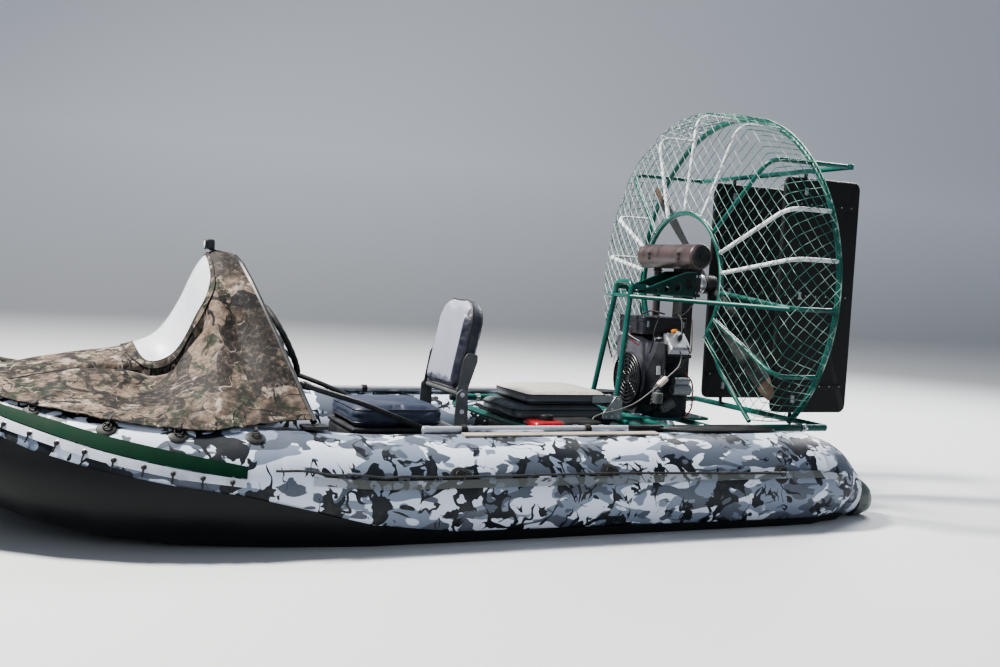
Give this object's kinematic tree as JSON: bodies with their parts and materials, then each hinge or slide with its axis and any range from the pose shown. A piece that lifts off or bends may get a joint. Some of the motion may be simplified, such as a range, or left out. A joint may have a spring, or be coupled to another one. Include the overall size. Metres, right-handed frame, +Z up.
{
  "type": "airboat",
  "caption": "Inflatable twin-tube airboat with fabric bow cover, driver's seat, folded rear seat, engine, caged propeller and air rudders.",
  "frame": {"origin": "centre of the bottom of the whole boat's bounding box, on the floor it rests on", "axes": "+X to the bow, +Y to port, +Z up"},
  "size_m": [4.2384, 1.8472, 1.8224],
  "materials": {
    "tube_fabric": "coated, urban camouflage",
    "skin_black": "satin",
    "cap_dark": "satin",
    "band_green": "coated",
    "strip_white": "coated",
    "strake_grey": "matt",
    "floor_grey": "matt",
    "cover_camo": "matt, woodland camouflage",
    "screen": "milky flexible sheet",
    "black_steel": "satin",
    "black_plastic": "satin",
    "seat_navy": "coated",
    "seat_dark": "coated",
    "seat_grey": "coated",
    "bracket_grey": "brushed",
    "can_red": "satin",
    "paddle_grey": "satin",
    "frame_green": "gloss",
    "engine_dark": "cast",
    "cover_silver": "cast",
    "muffler_brown": "heat-stained",
    "prop_dark": "satin",
    "net_green": "coated wire",
    "rudder_black": "satin",
    "filter_grey": "satin",
    "hose_pale": "satin"
  },
  "bodies": {
    "hull": {"tube_port": "tube_fabric", "tube_starboard": "tube_fabric", "stern_cap_port": "cap_dark", "stern_cap_starboard": "cap_dark", "bottom_skin": "skin_black", "bow_band_port": "band_green", "bow_band_starboard": "band_green", "lacing_strip_port": "strip_white", "lacing_strip_starboard": "strip_white", "rub_strake_port": "strake_grey", "rub_strake_starboard": "strake_grey", "floor_board": "floor_grey", "bow_cover": "cover_camo", "windscreen": "screen", "cover_arch": "black_steel", "arch_foot_port": "black_steel", "arch_foot_starboard": "black_steel", "top_lamp": "black_plastic", "steering_column": "black_steel", "brace_bar_port": "black_steel", "brace_bar_starboard": "black_steel", "driver_seat_box": "black_plastic", "driver_seat_cushion": "seat_navy", "driver_seat_bracket": "bracket_grey", "second_seat_box": "black_plastic", "second_seat_cushion": "seat_dark", "second_seat_hinge": "bracket_grey", "fuel_tank": "can_red", "paddle_port": "paddle_grey", "paddle_starboard": "paddle_grey", "engine_frame": "frame_green", "front_hoop": "frame_green", "engine_block": "engine_dark", "fan_shroud": "black_plastic", "fan_grille": "black_plastic", "air_box": "black_plastic", "valve_cover_port": "cover_silver", "valve_cover_starboard": "cover_silver", "starter": "cover_silver", "oil_filter": "filter_grey", "muffler": "muffler_brown", "drive_column": "black_steel", "gusset_port": "frame_green", "gusset_starboard": "frame_green", "bearing_hub": "cover_silver", "cage_frame": "frame_green", "cage_net": "net_green", "fuel_line": "hose_pale"},
    "propeller": {"propeller": "prop_dark"},
    "rudder_port": {"rudder_port": "rudder_black"},
    "rudder_starboard": {"rudder_starboard": "rudder_black"},
    "steering_wheel": {"steering_wheel": "black_plastic"},
    "driver_seat_back": {"driver_seat_back": "seat_navy"},
    "second_seat_back": {"second_seat_back": "seat_grey"}
  },
  "joints": [
    {"name": "propeller_spin", "type": "hinge", "parent": "hull", "child": "propeller", "pos_m": [-1.4932, 0, 1.014], "axis": [1, 0, 0], "continuous": true},
    {"name": "steering_wheel_turn", "type": "hinge", "parent": "hull", "child": "steering_wheel", "pos_m": [0.5568, 0, 0.69], "axis": [0.8877, 0, -0.4603], "range_deg": [-75, 75]},
    {"name": "rudder_port_turn", "type": "hinge", "parent": "hull", "child": "rudder_port", "pos_m": [-1.8012, 0.279, 1], "axis": [0, 0, 1], "range_deg": [-25, 25]},
    {"name": "rudder_starboard_turn", "type": "hinge", "parent": "hull", "child": "rudder_starboard", "pos_m": [-1.8012, -0.279, 1], "axis": [0, 0, 1], "range_deg": [-25, 25]},
    {"name": "driver_back_fold", "type": "hinge", "parent": "hull", "child": "driver_seat_back", "pos_m": [-0.1632, 0, 0.5], "axis": [0, 1, 0], "range_deg": [0, 95]},
    {"name": "second_back_raise", "type": "hinge", "parent": "hull", "child": "second_seat_back", "pos_m": [-0.9042, 0, 0.487], "axis": [0, -1, 0], "range_deg": [0, 88]}
  ],
  "couplings": [
    {"joint": "rudder_port_turn", "follows": "steering_wheel_turn", "ratio": 0.3333},
    {"joint": "rudder_starboard_turn", "follows": "steering_wheel_turn", "ratio": 0.3333}
  ]
}
